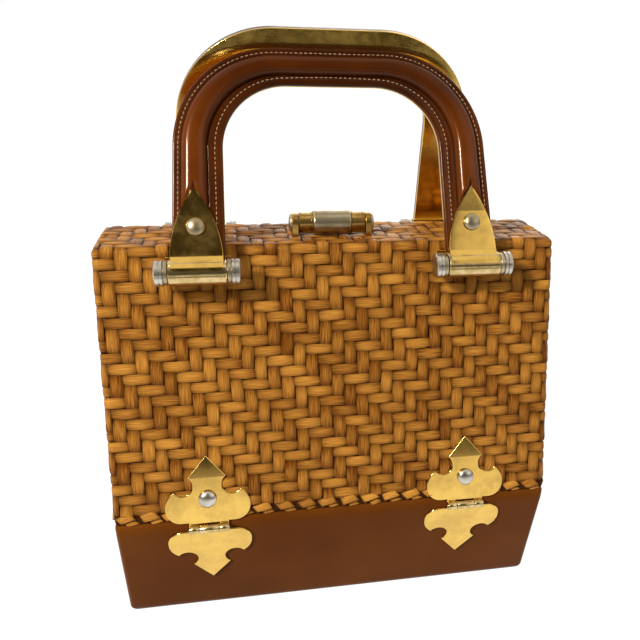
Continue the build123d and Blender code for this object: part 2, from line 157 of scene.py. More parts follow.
def skin(name, *patches, sharp=50.0):
    """Joins grids of points into one smooth mesh, in metres, welded where grids meet.

    A patch holds points of shape (..., rows, columns, 3) in millimetres. Four neighbouring points make a
    face, turned outward by flip. A capped patch is a tube, and its first and last ring close to their
    middles. The values tone and painted light (painted shade where low, painted highlight where high)
    ride on the points, and grain becomes a UV map.
    """
    coords, quads, grains, carried, start = [], [], [], {}, 0
    for patch in patches:
        points = np.asarray(patch["points"], float)
        points = points.reshape(-1, *points.shape[-3:])
        widen = ((0, 0), (1, 1) if patch.get("capped") else (0, 0), (0, 0))
        shape = points.shape[:3]
        points = np.pad(points, (*widen, (0, 0)), "edge")
        if patch.get("capped"):
            points[:, [0, -1]] = points[:, [0, -1]].mean(2, keepdims=True)
        count, rows, columns = points.shape[:3]
        index = start + np.arange(count * rows * columns).reshape(count, rows, columns)
        corners = [index[:, :-1, :-1], index[:, :-1, 1:], index[:, 1:, 1:], index[:, 1:, :-1]]
        if patch.get("flip"):
            corners.reverse()
        quads.append(np.stack(corners, -1).reshape(-1, 4))
        coords.append(points.reshape(-1, 3))
        grain = np.broadcast_to(patch.get("grain", np.zeros(2)), (*shape, 2))
        grains.append(np.pad(grain, (*widen, (0, 0)), "edge").reshape(-1, 2))
        for key in ("tone", "painted_light"):
            value = np.broadcast_to(patch.get(key, 0.5), shape)
            carried.setdefault(key, []).append(np.pad(value, widen, "edge").reshape(-1))
        start += count * rows * columns
    coords = np.concatenate(coords) * 0.001
    quads = np.concatenate(quads)
    grains = np.concatenate(grains)
    mesh = bpy.data.meshes.new(name)
    mesh.vertices.add(len(coords))
    mesh.vertices.foreach_set("co", coords.ravel())
    mesh.loops.add(quads.size)
    mesh.loops.foreach_set("vertex_index", quads.ravel())
    mesh.polygons.add(len(quads))
    mesh.polygons.foreach_set("loop_start", np.arange(len(quads)) * 4)
    mesh.update(calc_edges=True)
    for key, value in carried.items():
        mesh.attributes.new(key, "FLOAT", "POINT").data.foreach_set("value", np.concatenate(value))
    mesh.uv_layers.new(name="grain").data.foreach_set("uv", grains[quads.ravel()].ravel())
    welded = bmesh.new()
    welded.from_mesh(mesh)
    bmesh.ops.remove_doubles(welded, verts=welded.verts, dist=2e-6)
    bmesh.ops.dissolve_degenerate(welded, edges=welded.edges, dist=1e-7)
    welded.to_mesh(mesh)
    welded.free()
    mesh.polygons.foreach_set("use_smooth", np.ones(len(mesh.polygons), bool))
    mesh.set_sharp_from_angle(angle=math.radians(sharp))
    return added(name, mesh)


def fit(piece, finish, body, slot, *nodes):
    """Gives a piece its finish, its body and the solids it stands for. The slot is not used."""
    piece.data.materials.append(finish.material)
    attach(piece, body)
    if nodes:
        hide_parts(*nodes)


def rounded_ring(half_x, half_y, radius, steps=7, side=6):
    """Closed rounded rectangle, a quarter arc at each corner and a few points on each side."""
    arc = np.linspace(0, math.pi / 2, steps)
    ring = []
    for turn, (sx, sy) in enumerate(((1, 1), (-1, 1), (-1, -1), (1, -1))):
        angle = arc + turn * math.pi / 2
        centre = np.array([sx * (half_x - radius), sy * (half_y - radius)])
        ring.append(centre + radius * np.stack([np.cos(angle), np.sin(angle)], -1))
        ring.append(np.full((side, 2), np.nan))
    points = np.concatenate(ring)
    known = ~np.isnan(points[:, 0])
    order = np.arange(len(points))
    spread = np.append(order[known], len(points))
    for axis in (0, 1):
        values = np.append(points[known, axis], points[0, axis])
        points[:, axis] = np.interp(order, spread, values)
    return np.concatenate([points, points[:1]])


leather_deep = (0.112, 0.030, 0.0034)
leather_warm = (0.165, 0.049, 0.0066)
tray_leather = Finish("tray_leather", Specular_IOR_Level=0.06, Specular_Tint=(0.8, 0.4, 0.15))
clouds = tray_leather.place.noise(14.0, 3.0)
pores = tray_leather.place.noise(900.0, 2.0)
tray_leather.set("Base Color", clouds.ramp(0.25, 0.8).mix(leather_deep, leather_warm))
tray_leather.set("Roughness", 0.20 + 0.14 * clouds + 0.02 * pores)
tray_leather.set("Normal", (0.3 * pores + 2.0 * clouds).bump(0.10, 0.0004))

base_wall = 3.0
base_floor = 3.0
tray_edge = 4.0
tray_rows = 8
tray_corner_radius = 2.6
tray_inner_radius = 1.0
lean = math.tan(base_slope)
edge_turn = np.linspace(0, math.pi / 2, tray_rows)
low_half = base_bottom_depth / 2
shoulder = base_height - rim_band_height
# Each row of the tray's skin: height, half length, half depth and corner radius
tray_profile = [(0.0, 0.0, 0.0, 0.0), (0.0, half_width - 12.0, low_half - 9.0, tray_inner_radius)]
for turn in edge_turn:
    rise = tray_edge * (1 - math.cos(turn))
    inset = tray_edge * (1 - math.sin(turn))
    row_half = low_half + rise * lean - 0.6 * inset
    tray_profile.append((rise, half_width - inset, row_half, tray_corner_radius))
for rise in (6.0, 20.0, 40.0, 58.0, shoulder - 1.5):
    tray_profile.append((rise, half_width, low_half + rise * lean, tray_corner_radius))
rim_half = hinge_line_depth / 2
rim_rows = ((shoulder, 0.1), (shoulder + 1.5, 0.0), (base_height - 1.0, 0.0), (base_height - 0.3, 0.3),
            (base_height, 1.0), (base_height, base_wall - 0.8), (base_height - 0.4, base_wall))
for rise, inset in rim_rows:
    tray_profile.append((rise, half_width - inset, rim_half - inset, tray_corner_radius))
for rise in (shoulder, base_floor + 1.0, base_floor):
    wall = min(rim_half, low_half + rise * lean) - base_wall
    tray_profile.append((rise, half_width - base_wall, wall, tray_inner_radius))
tray_profile.append((base_floor, 0.0, 0.0, 0.0))
tray_points = []
for rise, half_x, half_y, radius in tray_profile:
    ring = rounded_ring(half_x, half_y, min(radius, half_y))
    tray_points.append(np.column_stack([ring, np.full(len(ring), rise)]))
tray = skin("tray", {"points": np.array(tray_points)}, sharp=60.0)
fit(tray, tray_leather, "base", "base_leather", "base_tray")


# Linings
# Plain woven cotton over card, glued to the inside of the tray and of each half.
# The solids have the right shape already, so they only take the cloth's finish.

lining_cloth = Finish("lining_cloth", Sheen_Weight=0.3)
warp = lining_cloth.place.stretch(1.0, 1.0, 0.05).noise(2600.0, 1.0)
weft = lining_cloth.place.stretch(0.05, 0.3, 1.0).noise(2600.0, 1.0)
threads = 0.5 * warp + 0.5 * weft
lining_cloth.set("Base Color", threads.ramp(0.35, 0.65).mix((0.27, 0.155, 0.07), (0.40, 0.25, 0.12)))
lining_cloth.set("Roughness", 0.75 + 0.15 * threads)
lining_cloth.set("Normal", threads.bump(0.3, 0.0003))
for name in ("base_lining", "front_lining", "back_lining"):
    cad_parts[name].data.materials.clear()
    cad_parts[name].data.materials.append(lining_cloth.material)


# Woven halves
# Flat varnished strands plaited over two and under two, so the floats step down to the right.
# The weave runs up the front, over the top edge to the seam, and round both ends.

top_depth = 46.0
wicker_height = 141.5
body_top = base_height + wicker_height
wicker_slope = math.atan2((hinge_line_depth - top_depth) / 2, wicker_height)
face_length = wicker_height / math.cos(wicker_slope)
weave_start = 5.6
strand_swing = 0.62
strand_thickness = 0.8
strand_dome = 0.32
weave_crest = 0.5
ground_level = -2.0
ground_back = -2.4
edge_radius = 2.6
seam_half_gap = 0.35
# Each half, and what turns the front one's points into its own: the back one is mirrored about the seam
half_sides = {"front": np.array([1.0, 1.0, 1.0]), "back": np.array([1.0, -1.0, 1.0])}


def strands(lines, cells, phase, middle, draw):
    """Ribbons side by side, each over two and under two of those that cross it.

    A ribbon's height is a signed power of a cosine with a period of four cells, less its fall from the
    middle to its rounded edges, and plus a slight roll. Width, roll and tone are drawn for each float.
    """
    along = np.append((np.arange(cells)[:, None] + np.array([0.0, 0.13, 0.37, 0.63, 0.87])).ravel(), cells)
    across = np.array([-1.0, -1.0, -0.88, -0.4, 0.4, 0.88, 1.0, 1.0, -1.0])
    fall = np.array([strand_thickness, 0.26, 0.07, 0.0, 0.0, 0.07, 0.26, strand_thickness, strand_thickness])
    line = np.arange(lines)[:, None, None]
    at, off = along[None, :, None], across[None, None, :]
    beat = at + line + phase - middle
    swing = np.cos(math.pi / 2 * beat)
    number = np.floor(beat / 4 + 0.5).astype(int) + 2
    floats = (lines, (lines + cells + phase) // 4 + 4)
    level, lean, wander, tone = (draw.uniform(low, high, floats)[line, number] for low, high in (
        (-0.16, 0.0), (-0.2, 0.2), (-0.035, 0.035), (0.0, 1.0)))
    over = np.clip(swing, 0, 1)
    half = draw.uniform(0.465, 0.502, lines)[line]
    beside = line + 0.5 + wander * over + half * off
    rise = strand_swing * np.sign(swing) * np.abs(swing) ** 0.7 + (level + lean * off) * over
    height = rise - fall + strand_dome * (1 - off**2)
    tone = 0.3 * draw.uniform(0, 1, lines)[line] + 0.7 * tone
    # Painted light from the relief: low places get painted shade and crests a painted highlight
    painted_light = np.clip((height + strand_swing) / (2 * strand_swing + strand_dome), 0, 1)
    crest = strand_swing + strand_dome - weave_crest
    return [np.array(value) for value in np.broadcast_arrays(
        at / cells, beside / lines, height - crest, tone, painted_light, at, 0.5 * off + 3.7 * line + 50.0 * middle)]


def woven(place, columns, rows, phase, seed, flip):
    """Twill patches on a surface: strands along it, strands across it, and a painted-shade ground behind."""
    draw = np.random.default_rng(seed)
    u, v, height, tone, painted_light, *grain = strands(rows, columns, phase, 1, draw)
    # Painted light: weft floats are made lighter than warp floats, as if lit from above; tone is random
    weft = {"points": place(u, v, height), "flip": not flip, "capped": True,
            "tone": 0.2 + 0.8 * tone, "painted_light": painted_light, "grain": np.stack(grain, -1)}
    v, u, height, tone, painted_light, *grain = strands(columns, rows, phase, 3, draw)
    warp = {"points": place(u, v, height), "flip": flip, "capped": True,
            "tone": 0.8 * tone, "painted_light": painted_light, "grain": np.stack(grain, -1)}
    u, v = np.meshgrid(np.linspace(0, 1, 75), np.linspace(0, 1, 57))
    rim = (u % 1 == 0) | (v % 1 == 0)
    # The ground takes the lowest painted light, so it shows as painted shade in the gaps
    outer = {"points": place(u, v, np.where(rim, ground_back, ground_level)), "flip": flip, "painted_light": 0.0}
    inner = {"points": place(u, v, np.full(u.shape, ground_back)), "flip": not flip, "painted_light": 0.0}
    return [weft, warp, outer, inner]


def looked_up(at, reached, line):
    """Places on a line at given lengths along it, where reached holds the lengths at its own points."""
    return np.stack([np.interp(at, reached, line[:, axis]) for axis in (0, 1)], -1)


def bent_path(place, heading, runs, length):
    """Place and outward normal along a path of straight runs and arcs.

    The heading is its first value plus the turn so far, the place is the sum of small steps along the
    heading, and the normal stands a quarter turn to its left. Each run is (length, turn).
    """
    step = 0.01
    turns = np.concatenate([np.full(round(run / step), turn / round(run / step)) for run, turn in runs])
    headings = heading + np.cumsum(turns)
    reached = step * np.arange(len(turns))
    spots = np.array(place) + step * np.cumsum(np.stack([np.cos(headings), np.sin(headings)], -1), 0)
    faced = np.interp(length, reached, headings)
    return looked_up(length, reached, spots), np.stack([-np.sin(faced), np.cos(faced)], -1)


def front_y(z):
    """The sloping front's y at a height."""
    return -hinge_line_depth / 2 + (z - base_height) * math.tan(wicker_slope)


up_turn = math.pi / 2 - wicker_slope
edge_tangent = edge_radius * math.tan(up_turn / 2)
seam_radius = 1.2
fold_runs = [
    (face_length - weave_start - edge_tangent, 0.0),
    (edge_radius * up_turn, -up_turn),
    (top_depth / 2 - seam_half_gap - edge_tangent - seam_radius, 0.0),
    (seam_radius * math.pi / 2, -math.pi / 2),
    (1.2, 0.0),
]
fold_length = sum(run for run, turn in fold_runs)
front_columns = 37
front_rows = 28
end_columns = 6
end_rows = 24


def draped(u, v, height):
    """Front and top of a half: x from u round both end edges, y and z from v up and over the fold."""
    end_tuck = 1.6
    reach = half_width - edge_radius + edge_radius * math.pi / 2 + end_tuck
    wobble = 0.35 * np.sin(9.0 * u + 17.0 * v) + 0.25 * np.sin(31.0 * v - 12.0 * u + 1.0)
    sag = 0.35 * np.sin(13.0 * u + 2.0) * np.sin(7.0 * v) + 0.2 * np.sin(37.0 * u + 11.0 * v)
    inner = np.sin(math.pi * u) * np.sin(math.pi * v)
    along = (2 * u - 1) * reach + wobble * inner
    turn = np.clip((np.abs(along) - half_width + edge_radius) / edge_radius, 0, math.pi / 2)
    past = np.clip(np.abs(along) - reach + end_tuck, 0, None)
    side = np.sign(along)
    x = side * (np.minimum(np.abs(along), half_width - edge_radius) + (edge_radius + height) * np.sin(turn))
    x = x - side * 0.6 * past
    start = (front_y(base_height) + weave_start * math.sin(wicker_slope),
             base_height + weave_start * math.cos(wicker_slope))
    spot, normal = bent_path(start, up_turn, fold_runs, v * fold_length + sag * inner)
    out = -edge_radius * (1 - np.cos(turn)) + height * np.cos(turn) - past
    yz = spot + normal * out[..., None]
    return np.concatenate([x[..., None], yz], -1)


def end_wall(u, v, height, side):
    """One end of a half: y runs from the front edge to the seam, z runs up, and x carries the height."""
    z = base_height + weave_start + v * (wicker_height - weave_start - edge_radius + 0.6)
    first = front_y(z) + edge_radius / math.cos(wicker_slope) - 0.6
    y = first + u * (-seam_half_gap - 0.3 - first)
    return np.stack([side * (half_width + height), y, z], -1)


# The darkest straw colour is painted shade for the low places between the strands
straw_painted_shade = (0.028, 0.0065, 0.0008)
straw_mid = (0.138, 0.036, 0.0028)
straw_pale = (0.66, 0.305, 0.052)
straw = Finish("varnished_straw", Coat_Weight=0.05, Coat_Roughness=0.12, Specular_IOR_Level=0.06,
               Specular_Tint=(1.0, 0.78, 0.42))
fibre = straw.grain().stretch(0.28, 9.0, 1.0).noise(2.2, 2.0).ramp(0.30, 0.70)
blotch = straw.place.noise(45.0, 3.0)
# Painted highlight: the crests of the strands are lightened
crown = straw.value("painted_light").ramp(0.72, 1.0)
tint = straw.value("tone") * 0.62 + fibre * 0.5 + crown * 0.22 - 0.24
# Painted shade from the relief: the lower a place on a strand, the darker
lit = straw.value("painted_light").ramp(0.28, 0.86)
straw_colour = (blotch.ramp(0.5, 0.8) * 0.45).mix(tint.mix(straw_mid, straw_pale), (0.17, 0.050, 0.006))
straw.set("Base Color", (0.04 + 0.96 * lit).mix(straw_painted_shade, straw_colour))
straw.set("Roughness", 0.22 + 0.16 * fibre)
straw.set("Normal", fibre.bump(0.38, 0.0006))

# A welt inside the seam, fixed to the front half, that the back half closes on, dark with painted shade
welt_half = 0.25
welt_out, welt_in = 1.0, 3.4
welt_path = np.array([(-1.0, 0.0), (-1.0, 1.0), (1.0, 1.0), (1.0, 0.0)])
welt_ring = np.array([(welt_out, -1.0), (welt_out, 1.0), (welt_in, 1.0), (welt_in, -1.0), (welt_out, -1.0)])
welt_inset, welt_y = welt_ring[None, :, 0], welt_ring[None, :, 1] * welt_half
welt_x = welt_path[:, :1] * (half_width - welt_inset)
welt_z = base_height + 1.0 + welt_path[:, 1:] * (wicker_height - 1.0 - welt_inset)
welt = {"points": np.stack(np.broadcast_arrays(welt_x, welt_y, welt_z), -1), "flip": True, "painted_light": 0.0,
        "capped": True}

for half, facing in half_sides.items():
    mirror = half == "back"
    fold = woven(draped, front_columns, front_rows, 2, 11 + mirror, mirror)
    walls = []
    for side in (-1, 1):
        walls += woven(lambda u, v, height: end_wall(u, v, height, side), end_columns, end_rows, 1,
                       23 + side + 5 * mirror, (side < 0) != mirror)
    for patch in fold + walls:
        patch["points"] = patch["points"] * facing
    if half == "front":
        fold.append(welt)
    fit(skin(f"{half}_weave", *fold, sharp=180.0), straw, f"{half}_half", "wicker", f"{half}_wicker")
    fit(skin(f"{half}_weave_ends", *walls, sharp=180.0), straw, f"{half}_half", "wicker")


# Plaited edge
# The strand ends are turned up and plaited into a border along the bottom of each half,
# with slanting strands in front and shorter ones crossing behind them.

plait_pitch = 11.8
plait_dome = 0.7
plait_tuck = 1.2
parting_gap = 0.3
core_up, core_lie = 3.4, -1.3
core_half_height, core_half_depth = 2.9, 0.9
# Corners of a unit's upper and lower fold, from the upper left round to the lower left: along, up and out
plait_folds = (
    ((4.4, 2.2, -1.2), (9.8, 3.6, -1.0), (12.6, 1.0, -0.5), (6.4, -0.1, -0.3)),
    ((0.0, 5.0, -0.4), (8.2, 7.6, -0.1), (11.2, 3.7, 0.7), (2.9, 1.7, 1.1)),
)


def face_point(x, up, out):
    """Point on the sloping front: across, up the slope and out from it."""
    y = front_y(base_height) + up * math.sin(wicker_slope) - out * math.cos(wicker_slope)
    z = base_height + up * math.cos(wicker_slope) + out * math.sin(wicker_slope)
    return np.stack(np.broadcast_arrays(x, y, z), -1)


def end_point(side, y, up, out):
    """Point on the upright end of a side: along the depth, up and out from it."""
    return np.stack(np.broadcast_arrays(side * (half_width + out), y, base_height + parting_gap + up), -1)


def plait(first, last, corners, draw):
    """A row of folded strips, one in each unit of the plait.

    Each is a sheet stretched between its four corners, with a shallow dome, its rim tucked in and a flat
    underside. The heights of both sides are given back.
    """
    count = round((last - first) / plait_pitch)
    pitch = (last - first) / count
    share = np.array([0.0, 0.0, 0.1, 0.35, 0.65, 0.9, 1.0, 1.0])
    s, w = np.meshgrid(share, share, indexing="ij")
    spread = draw.normal(0.0, 1.0, (count, 4, 3)) * np.array([0.45, 0.3, 0.12])
    a, b, c, d = (np.asarray(corners)[None] + spread).transpose(1, 0, 2)[:, :, None, None]
    s, w = s[None, ..., None], w[None, ..., None]
    sheet = (1 - w) * ((1 - s) * a + s * b) + w * ((1 - s) * d + s * c)
    start = first - 1.0 + pitch * np.arange(count)[:, None, None]
    rim = np.minimum(np.arange(8), np.arange(8)[::-1])
    tucked = np.minimum(rim[:, None], rim[None, :])[None] == 0
    s, w = s[..., 0], w[..., 0]
    bulge = plait_dome * (1 - (2 * s - 1) ** 4) * (1 - (2 * w - 1) ** 4)
    along = np.clip(start + sheet[..., 0] * pitch / plait_pitch, first - 1.0, last + 1.0)
    under = sheet[..., 2] - plait_tuck
    sides = np.where(tucked, under, sheet[..., 2] + bulge), under
    tone = np.broadcast_to(draw.uniform(0.1, 1.0, count)[:, None, None], along.shape)
    grain = np.stack(np.broadcast_arrays(2.0 * s, w + 5.1 * np.arange(count)[:, None, None]), -1)
    # Painted light from the relief: tucked rims get painted shade and the domed middles a painted highlight
    painted_light = np.where(tucked, 0.25, 0.45 + 0.55 * np.clip(bulge / 0.5, 0, 1))
    painted_light = np.broadcast_to(painted_light, along.shape)
    return along, sheet[..., 1], sides, {"tone": tone, "painted_light": painted_light, "grain": grain}


for half, facing in half_sides.items():
    mirror = half == "back"
    draw = np.random.default_rng(41 + mirror)
    folds = []
    for corners in plait_folds:
        along, up, sides, rest = plait(-half_width + 1.6, half_width - 1.6, corners, draw)
        for lie, inward in zip(sides, (False, True)):
            folds.append({"points": face_point(along, up, lie), "flip": mirror != inward, **rest})
        for side in (-1, 1):
            along, up, sides, rest = plait(front_y(base_height) + 1.6, -1.6, corners, draw)
            for lie, inward in zip(sides, (False, True)):
                points = end_point(side, along, up, lie)
                folds.append({"points": points, "flip": ((side < 0) != mirror) != inward, **rest})
    # The core that the strands are plaited round, dark with painted shade
    bar = np.linspace(0, 2 * math.pi, 13)
    core_x = np.array([-half_width + 1.2, half_width - 1.2])
    core_z, core_out = core_up + core_half_height * np.cos(bar), core_lie + core_half_depth * np.sin(bar)
    core = face_point(core_x[:, None], core_z, core_out)
    folds.append({"points": core, "flip": mirror, "painted_light": 0.0, "capped": True})
    for side in (-1, 1):
        core_y = np.array([front_y(base_height) + 1.4, -seam_half_gap])[:, None]
        core = end_point(side, core_y, core_z, core_out)
        folds.append({"points": core, "flip": (side < 0) != mirror, "painted_light": 0.0, "capped": True})
    for patch in folds:
        patch["points"] = patch["points"] * facing
    edge = skin(f"{half}_plaited_edge", *folds, sharp=50.0)
    fit(edge, straw, f"{half}_half", "wicker", f"{half}_edge_braid")


# Hinges
# Leaves cut from thick brass sheet in a fleur outline and polished, with knuckles rolled from the
# sheet, a brass pin through them, and one domed nickel rivet through each upper leaf.

hinge_x = half_width - 47.7
hinge_drop = 4.1
leaf_thickness = 1.3
leaf_ease = 0.6
leaf_tip_dip = 1.25
upper_leaf_length = 40.0
lower_leaf_length = 42.5
leaf_half_width = 22.0
knuckle_radius = 2.25
knuckle_width = 20.6
knuckle_middle = 10.0
knuckle_gap = 0.25
hinge_pin_radius = 1.1
hinge_pin_end = 0.3
hinge_rivet_height = 16.3
rivet_radius = 4.7
rivet_rise = 3.0

brass = Finish("polished_brass", Metallic=1.0)
tarnish = 0.6 * brass.place.noise(55.0, 4.0) + 0.4 * brass.place.noise(240.0, 3.0)
rubbed = brass.place.stretch(1.0, 1.0, 6.0).noise(420.0, 3.0)
brass.set("Base Color", tarnish.ramp(0.36, 0.68).mix((0.80, 0.52, 0.125), (0.66, 0.42, 0.11)))
brass.set("Roughness", 0.10 + 0.12 * tarnish.ramp(0.35, 0.7) + 0.06 * rubbed)
brass.set("Normal", (rubbed * 0.2 + tarnish).bump(0.03, 0.0006))


def metal(name, scale, detail, span, pale, dull, gloss, strength):
    """Metal with one cloud of tarnish: colour from pale to dull over its span, and gloss from its values."""
    finish = Finish(name, Metallic=1.0)
    cloud = finish.place.noise(scale, detail)
    finish.set("Base Color", cloud.ramp(*span).mix(pale, dull))
    finish.set("Roughness", gloss[0] + gloss[1] * cloud)
    finish.set("Normal", cloud.bump(strength, 0.0003))
    return finish


nickel = metal("polished_nickel", 150.0, 3.0, (0.3, 0.7), (0.62, 0.585, 0.52), (0.44, 0.405, 0.345),
               (0.20, 0.22), 0.05)
worn_brass = metal("worn_brass", 220.0, 4.0, (0.35, 0.65), (0.68, 0.52, 0.26), (0.52, 0.38, 0.16),
                   (0.16, 0.16), 0.06)
aged_brass = metal("aged_brass", 140.0, 3.0, (0.3, 0.7), (0.55, 0.35, 0.10), (0.36, 0.21, 0.055),
                   (0.18, 0.2), 0.06)
aged_nickel = metal("aged_nickel", 190.0, 3.0, (0.3, 0.7), (0.48, 0.42, 0.29), (0.36, 0.29, 0.17),
                    (0.24, 0.2), 0.06)


def arc_through(start, middle, end, steps):
    """Points on the circle through three points, from the first to the last, without the last."""
    (ax, ay), (bx, by), (cx, cy) = start, middle, end
    d = 2 * (ax * (by - cy) + bx * (cy - ay) + cx * (ay - by))
    squares = ax**2 + ay**2, bx**2 + by**2, cx**2 + cy**2
    ox = (squares[0] * (by - cy) + squares[1] * (cy - ay) + squares[2] * (ay - by)) / d
    oy = (squares[0] * (cx - bx) + squares[1] * (ax - cx) + squares[2] * (bx - ax)) / d
    first, mid, last = (math.atan2(y - oy, x - ox) for x, y in (start, middle, end))
    sweep = (last - first) % (2 * math.pi)
    if (mid - first) % (2 * math.pi) > sweep:
        sweep -= 2 * math.pi
    angle = first + sweep * np.linspace(0, 1, steps, endpoint=False)
    return np.stack([ox + math.hypot(ax - ox, ay - oy) * np.cos(angle),
                     oy + math.hypot(ax - ox, ay - oy) * np.sin(angle)], -1)


def leaf_outline(length):
    """Right half of the fleur, from its tip down to its foot: straight barb, round notch, wide lobe."""
    wide = leaf_half_width
    barb, notch = (0.455 * wide, 0.71 * length), (0.41 * wide, 0.505 * length)
    cusp, shoulder_at = (0.78 * wide, 0.525 * length), (0.945 * wide, 0.43 * length)
    widest, belly = (wide, 0.30 * length), (0.90 * wide, 0.145 * length)
    foot = (0.62 * wide, 0.08 * length)
    return np.concatenate([
        [(0.0, length)], arc_through(barb, notch, cusp, 18), arc_through(cusp, shoulder_at, widest, 10),
        arc_through(widest, belly, foot, 12), [foot],
    ])


def placed(points, origin, x_dir, y_dir, z_dir):
    """Points given in a plane's own axes, carried to where that plane lies."""
    return np.asarray(origin) + np.asarray(points) @ np.array([x_dir, y_dir, z_dir])


def flat_sheet(ring):
    """An outline with no crease: its points, and one face round all of them."""
    return ring, [list(range(len(ring)))]


def sheared(name, outline, heights, thickness, plane, bevel):
    """Sheet metal cut to an outline, with its edges eased.

    The outline is a ring of points in the plane, with the rings of point numbers that its top is folded
    into, so the sheet can have creases. heights lifts all of it, or each point.
    """
    points, faces = outline
    count = len(points)
    heights = np.broadcast_to(heights, count)
    top = np.column_stack([points, heights + thickness])
    bottom = np.column_stack([points, heights])
    mesh = bpy.data.meshes.new(name)
    here = np.arange(count)
    after = np.roll(here, -1)
    sides = np.stack([after, here, here + count, after + count], -1).tolist()
    coords = placed(np.concatenate([top, bottom]), *plane) * 0.001
    lower = [[number + count for number in reversed(face)] for face in faces]
    mesh.from_pydata(coords, [], faces + lower + sides)
    turned = bmesh.new()
    turned.from_mesh(mesh)
    bmesh.ops.recalc_face_normals(turned, faces=turned.faces)
    turned.to_mesh(mesh)
    turned.free()
    mesh.polygons.foreach_set("use_smooth", np.ones(len(mesh.polygons), bool))
    piece = added(name, mesh)
    eased = piece.modifiers.new("eased_edge", "BEVEL")
    eased.width = bevel * 0.001
    eased.segments = 3
    eased.limit_method = "ANGLE"
    eased.angle_limit = math.radians(40)
    eased.harden_normals = True
    return piece


def turned_part(profile, origin, axis, beside, steps=40):
    """Surface of revolution: each (along, radius) of the profile swung round the axis."""
    angle = np.linspace(0, 2 * math.pi, steps + 1)
    axis, beside = np.asarray(axis, float), np.asarray(beside, float)
    third = np.cross(axis, beside)
    ring = np.cos(angle)[:, None] * beside + np.sin(angle)[:, None] * third
    along, radius = np.asarray(profile, float).T
    return np.asarray(origin) + along[:, None, None] * axis + radius[:, None, None] * ring


def dome_profile(radius, rise, foot):
    """Domed head from its foot to its crown: a short upright rim, then a quarter ellipse."""
    angle = np.linspace(0, math.pi / 2, 9)
    crown = np.stack([0.25 * rise + 0.75 * rise * np.sin(angle), radius * np.cos(angle)], -1)
    crown[-1, 1] = 0.0
    return np.concatenate([[(-foot, 0.0), (-foot, radius * 0.98), (0.0, radius)], crown])


def knuckle_profile(start, end, radius):
    """Rolled knuckle between two places along the pin, with eased rims."""
    ease = 0.25
    return [(start, 0.0), (start, radius - ease), (start + ease, radius), (end - ease, radius),
            (end, radius - ease), (end, 0.0)]


slope_sin, slope_cos = math.sin(wicker_slope), math.cos(wicker_slope)
base_sin, base_cos = math.sin(base_slope), math.cos(base_slope)
hinge_axis = np.array([
    0.0, front_y(base_height) - hinge_drop * slope_sin - knuckle_radius * slope_cos,
    base_height - hinge_drop * slope_cos + knuckle_radius * slope_sin,
])
tray_corner = np.array([0.0, -hinge_line_depth / 2, shoulder])
down_slope = np.array([0.0, base_sin, -base_cos])
leaf_foot = tray_corner + down_slope * ((hinge_axis - tray_corner) @ down_slope)
across, up_dir = np.array([1.0, 0.0, 0.0]), np.array([0.0, 0.0, 1.0])
face_up, face_out = np.array([0.0, slope_sin, slope_cos]), np.array([0.0, -slope_cos, slope_sin])


def fleur(length, tongue, crease):
    """Whole ring of a leaf's outline, and the rings its top is folded into at the crease.

    Below the foot a tongue runs to the knuckles, over the given range from the middle.
    """
    near, far = tongue
    foot, notch_foot = 0.08 * length, 2.4
    right = np.concatenate([leaf_outline(length), [(far, foot), (far, 0.0), (near, 0.0)]])
    if near > 0:
        right = np.concatenate([right, [(near, notch_foot), (0.0, notch_foot)]])
    else:
        right = np.concatenate([right[:-1], [(0.0, 0.0)]])
    ring = np.concatenate([right, right[-2:0:-1] * np.array([-1.0, 1.0])])
    if crease:
        last = len(ring) - 1
        return ring, [list(range(1, last + 1)), [last, 0, 1]]
    return flat_sheet(ring)


for half, facing in half_sides.items():
    for side_name, side in (("left", -1), ("right", 1)):
        middle = np.array([side * hinge_x, 0.0, 0.0])
        upper_origin = (face_point(0.0, -hinge_drop, 0.0) + middle) * facing
        upper_plane = (upper_origin, across, face_up * facing, face_out * facing)
        inner, outer = knuckle_middle / 2, knuckle_width / 2
        beside = inner + knuckle_gap
        outline = fleur(upper_leaf_length, (beside, outer), True)
        heights = np.where(outline[0][:, 1] > 0.75 * upper_leaf_length, -leaf_tip_dip, 0.0)
        upper = sheared(f"{half}_{side_name}_upper_leaf", outline, heights, leaf_thickness, upper_plane,
                        leaf_ease)
        fit(upper, brass, f"{half}_half", "brass", f"{half}_{side_name}_hinge_upper_leaf")
        lower_plane = ((leaf_foot + middle) * facing, across, down_slope * facing,
                       np.array([0.0, -base_cos, -base_sin]) * facing)
        outline = fleur(lower_leaf_length, (0.0, inner), False)
        lower = sheared(f"{half}_{side_name}_lower_leaf", outline, 0.0, leaf_thickness, lower_plane,
                        leaf_ease)
        fit(lower, brass, "base", "brass", f"{half}_{side_name}_hinge_lower_leaf")
        pin_at = (hinge_axis + middle) * facing
        rolled = [turned_part(knuckle_profile(start, end, knuckle_radius), pin_at, across, up_dir, 32)
                  for start, end in ((-outer, -beside), (beside, outer))]
        knuckles = skin(f"{half}_{side_name}_upper_knuckles", *[{"points": p} for p in rolled])
        fit(knuckles, worn_brass, f"{half}_half", "brass")
        rolled = turned_part(knuckle_profile(-inner, inner, knuckle_radius), pin_at, across, up_dir, 32)
        pin_reach = outer + hinge_pin_end
        pin_profile = knuckle_profile(-pin_reach, pin_reach, hinge_pin_radius)
        pin = turned_part(pin_profile, pin_at, across, up_dir, 20)
        knuckle = skin(f"{half}_{side_name}_lower_knuckle", {"points": rolled}, {"points": pin})
        fit(knuckle, worn_brass, "base", "brass")
        rivet_at = (face_point(0.0, hinge_rivet_height - hinge_drop, leaf_thickness) + middle) * facing
        rivet = turned_part(dome_profile(rivet_radius, rivet_rise, 0.3), rivet_at, face_out * facing, across)
        rivet = skin(f"{half}_{side_name}_hinge_rivet", {"points": rivet})
        fit(rivet, nickel, f"{half}_half", "nickel")


